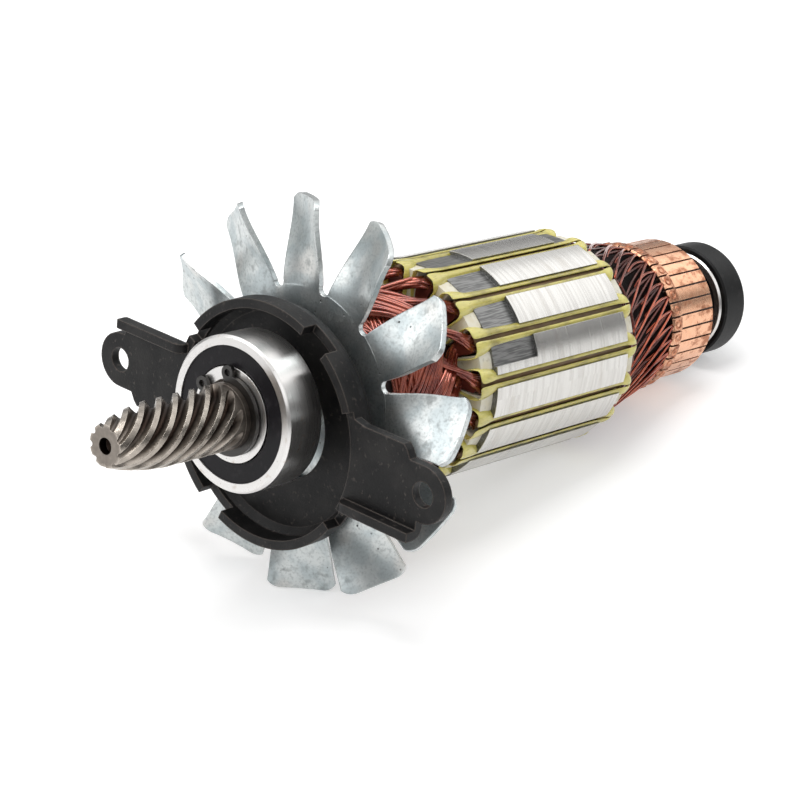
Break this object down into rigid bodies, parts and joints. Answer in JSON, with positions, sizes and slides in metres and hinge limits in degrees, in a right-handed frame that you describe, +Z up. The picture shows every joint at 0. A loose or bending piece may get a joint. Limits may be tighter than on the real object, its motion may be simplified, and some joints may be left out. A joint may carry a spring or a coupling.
{
  "type": "motor armature",
  "caption": "Motor armature with a helical pinion, ball bearings, a twisted-blade fan, a loose retainer bracket, a wound slotted stack and a copper commutator.",
  "frame": {"origin": "on the shaft's axis, at the middle of the drive bearing", "axes": "+Z up with the part at rest on its fan and its bearing boot; +X level, towards the commutator end, which the shaft's axis leads down to by the resting tilt; +Y to the side of the bracket's ear that the picture shows on the right"},
  "size_m": [0.242, 0.1232, 0.1018],
  "materials": {
    "oiled_steel": "machined steel with an oily brown film",
    "black_spring_steel": "blackened spring steel",
    "bearing_steel": "ground bearing steel",
    "cage_steel": "pressed steel",
    "seal_rubber": "satin black rubber",
    "turned_steel": "turned steel",
    "black_sheet_steel": "matt black with rubbed edges",
    "zinc_sheet_steel": "zinc-plated sheet",
    "cream_plastic": "cream moulded insulation",
    "lamination_steel": "stacked laminations, ground bright",
    "yellow_paper": "varnished insulating paper",
    "brown_wedge": "brown fibre strip",
    "copper_wire": "red-brown enamelled wire",
    "black_varnish": "black varnish",
    "bare_copper": "bare turned copper",
    "dark_moulding": "dark moulding",
    "boot_rubber": "satin black rubber"
  },
  "bodies": {
    "rotor": {"armature_shaft": "oiled_steel", "retaining_ring": "black_spring_steel", "drive_bearing_inner_ring": "bearing_steel", "bearing_spacer": "turned_steel", "retainer_bracket": "black_sheet_steel", "cooling_fan": "zinc_sheet_steel", "fan_hub": "turned_steel", "shaft_sleeve": "cream_plastic", "lamination_stack": "lamination_steel", "front_end_plate": "cream_plastic", "rear_end_plate": "cream_plastic", "slot_liners": "yellow_paper", "slot_wedges": "brown_wedge", "slot_coils": "copper_wire", "front_winding": "copper_wire", "front_winding_bundles": "copper_wire", "rear_winding": "black_varnish", "commutator_leads": "copper_wire", "commutator_bars": "bare_copper", "commutator_separators": "dark_moulding", "commutator_core": "dark_moulding", "tail_bearing_inner_ring": "bearing_steel"},
    "drive_bearing_outer": {"drive_bearing_outer_ring": "bearing_steel", "drive_bearing_front_seal": "seal_rubber", "drive_bearing_rear_seal": "seal_rubber"},
    "drive_bearing_rollers": {"drive_bearing_balls": "bearing_steel", "drive_bearing_cage": "cage_steel"},
    "tail_bearing_outer": {"tail_bearing_outer_ring": "bearing_steel", "tail_bearing_front_seal": "seal_rubber", "tail_bearing_rear_seal": "seal_rubber", "bearing_boot": "boot_rubber"},
    "tail_bearing_rollers": {"tail_bearing_balls": "bearing_steel", "tail_bearing_cage": "cage_steel"}
  },
  "joints": [
    {"name": "drive_bearing_turn", "type": "hinge", "parent": "rotor", "child": "drive_bearing_outer", "pos_m": [0, 0, 0], "axis": [0.9803, 0, -0.1977], "continuous": true},
    {"name": "drive_rollers_turn", "type": "hinge", "parent": "rotor", "child": "drive_bearing_rollers", "pos_m": [0, 0, 0], "axis": [0.9803, 0, -0.1977], "continuous": true},
    {"name": "tail_bearing_turn", "type": "hinge", "parent": "rotor", "child": "tail_bearing_outer", "pos_m": [0.18498, 0, -0.0373], "axis": [0.9803, 0, -0.1977], "continuous": true},
    {"name": "tail_rollers_turn", "type": "hinge", "parent": "rotor", "child": "tail_bearing_rollers", "pos_m": [0.18498, 0, -0.0373], "axis": [0.9803, 0, -0.1977], "continuous": true}
  ],
  "couplings": [
    {"joint": "drive_rollers_turn", "follows": "drive_bearing_turn", "ratio": 0.6158},
    {"joint": "tail_rollers_turn", "follows": "tail_bearing_turn", "ratio": 0.6165}
  ]
}
